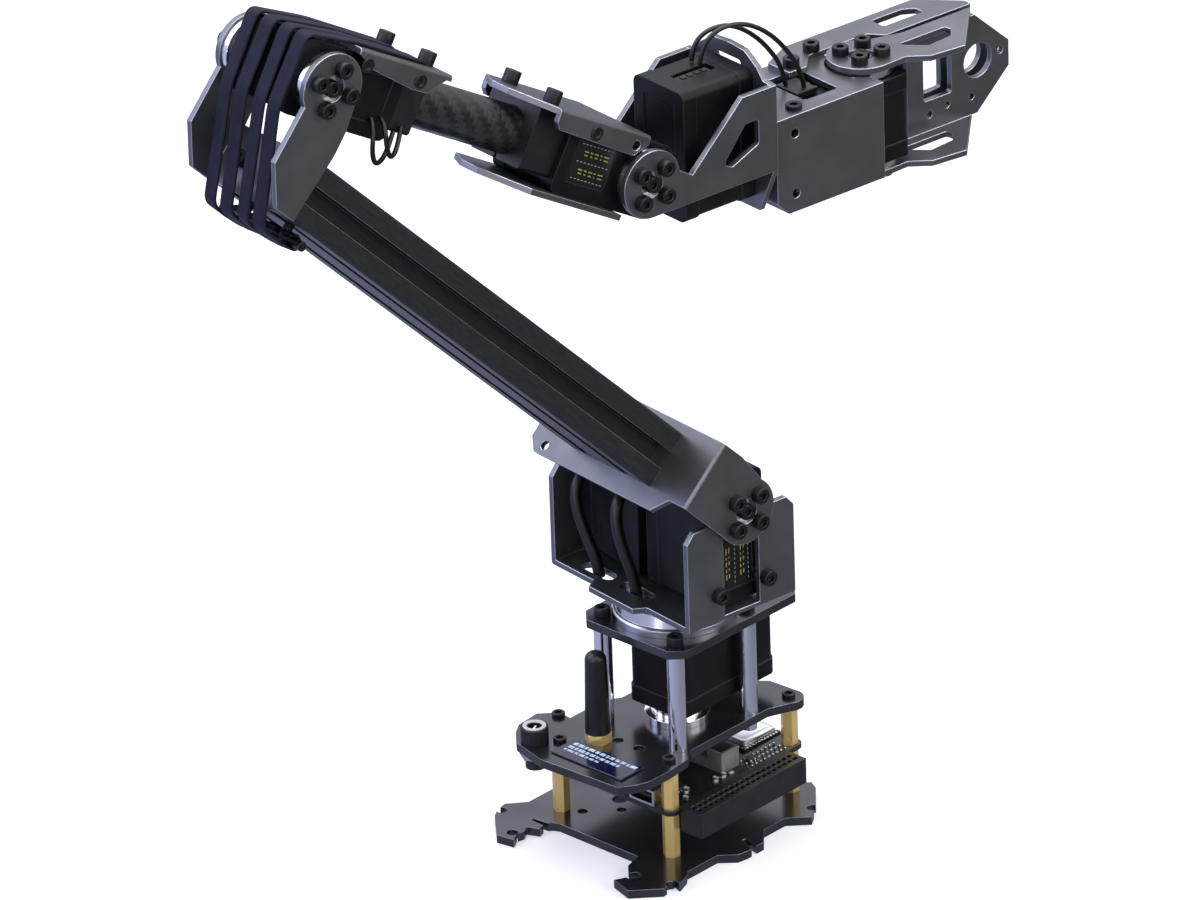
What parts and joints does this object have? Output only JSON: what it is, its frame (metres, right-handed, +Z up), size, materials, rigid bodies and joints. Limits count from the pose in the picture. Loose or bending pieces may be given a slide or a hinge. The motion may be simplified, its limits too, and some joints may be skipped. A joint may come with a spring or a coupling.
{
  "type": "robot arm",
  "caption": "Desk robot arm: cut base with driver board and deck, turret, slotted upper arm, carbon-tube forearm, pitch and roll wrist, two-jaw gripper.",
  "frame": {"origin": "on the desk under the base plate, on the yaw axis", "axes": "+X forward from the display side of the base, +Y left, +Z up the yaw axis"},
  "size_m": [0.3207, 0.0895, 0.3328],
  "materials": {
    "black_base_sheet": "semi-gloss black coat on cut sheet",
    "black_sheet": "satin black coat on folded aluminium",
    "black_anodised": "black anodised extrusion",
    "brass": "bright turned brass",
    "circuit_board": "black solder mask",
    "black_nylon": "moulded, matte",
    "grey_nylon": "moulded, matte",
    "module_can": "tinned steel can",
    "plated_steel": "nickel plate",
    "display_glass": "dark glass, lit",
    "antenna_rubber": "moulded, matte",
    "black_steel": "black oxide",
    "polished_steel": "polished",
    "bearing_steel": "turned",
    "horn_metal": "turned, bright",
    "servo_plastic": "fine moulded texture",
    "sleeved_lead": "black insulation",
    "carbon_fibre": "twill under clear resin",
    "band_rubber": "flat rubber band"
  },
  "bodies": {
    "base": {"base_plate": "black_base_sheet", "lower_standoffs": "brass", "driver_board": "circuit_board", "pin_header": "black_nylon", "radio_module": "module_can", "bus_connector": "grey_nylon", "usb_ports": "plated_steel", "upper_standoffs": "brass", "upper_deck": "black_base_sheet", "display_panel": "display_glass", "power_jack": "black_nylon", "antenna": "antenna_rubber", "antenna_nut": "brass", "deck_screws": "black_steel", "pillars": "polished_steel", "pillar_screws": "black_steel", "turntable_plate": "black_sheet", "bearing_outer_ring": "bearing_steel", "yaw_servo": "servo_plastic", "yaw_idler_disc": "horn_metal"},
    "turret": {"yaw_horn": "horn_metal", "bearing_inner_ring": "bearing_steel", "shoulder_bracket": "black_sheet", "near_shoulder_servo": "servo_plastic", "far_shoulder_servo": "servo_plastic", "turret_screws": "black_steel", "shoulder_leads": "sleeved_lead"},
    "upper_arm": {"shoulder_horns": "horn_metal", "arm_foot_bracket": "black_sheet", "arm_extrusion": "black_anodised", "elbow_bracket": "black_sheet", "elbow_horns": "horn_metal", "arm_screws": "black_steel", "band_bar": "black_steel"},
    "forearm": {"elbow_servo": "servo_plastic", "forearm_bracket": "black_sheet", "rear_tube_clamp": "black_nylon", "carbon_tube": "carbon_fibre", "front_tube_clamp": "black_nylon", "wrist_mount": "black_sheet", "wrist_servo": "servo_plastic", "forearm_screws": "black_steel", "forearm_leads": "sleeved_lead", "rubber_bands": "band_rubber"},
    "wrist": {"wrist_horns": "horn_metal", "wrist_bracket": "black_sheet", "roll_servo": "servo_plastic", "wrist_screws": "black_steel", "gripper_leads": "sleeved_lead"},
    "gripper": {"roll_horn": "horn_metal", "gripper_frame": "black_sheet", "fixed_jaw": "black_sheet", "gripper_servo": "servo_plastic", "gripper_screws": "black_steel"},
    "jaw": {"jaw_horns": "horn_metal", "moving_jaw": "black_sheet", "jaw_screws": "black_steel"}
  },
  "joints": [
    {"name": "base_yaw", "type": "hinge", "parent": "base", "child": "turret", "pos_m": [0, 0, 0.082], "axis": [0, 0, 1], "range_deg": [-180, 180]},
    {"name": "shoulder_pitch", "type": "hinge", "parent": "turret", "child": "upper_arm", "pos_m": [0, 0, 0.12606], "axis": [0.1305, 0.9914, 0], "range_deg": [-40, 105]},
    {"name": "elbow_pitch", "type": "hinge", "parent": "upper_arm", "child": "forearm", "pos_m": [-0.14499, 0.01909, 0.31473], "axis": [-0.1305, -0.9914, 0], "range_deg": [-10, 165], "deforming": ["rubber_bands"]},
    {"name": "wrist_pitch", "type": "hinge", "parent": "forearm", "child": "wrist", "pos_m": [-0.02093, 0.00276, 0.24249], "axis": [0.1305, 0.9914, 0], "range_deg": [-60, 45]},
    {"name": "wrist_roll", "type": "hinge", "parent": "wrist", "child": "gripper", "pos_m": [0.0336, -0.00442, 0.22879], "axis": [0.9914, -0.1305, 0], "range_deg": [-180, 180], "deforming": ["gripper_leads"]},
    {"name": "jaw_open", "type": "hinge", "parent": "gripper", "child": "jaw", "pos_m": [0.08304, -0.01194, 0.22879], "axis": [0, 0, -1], "range_deg": [0, 80]}
  ]
}
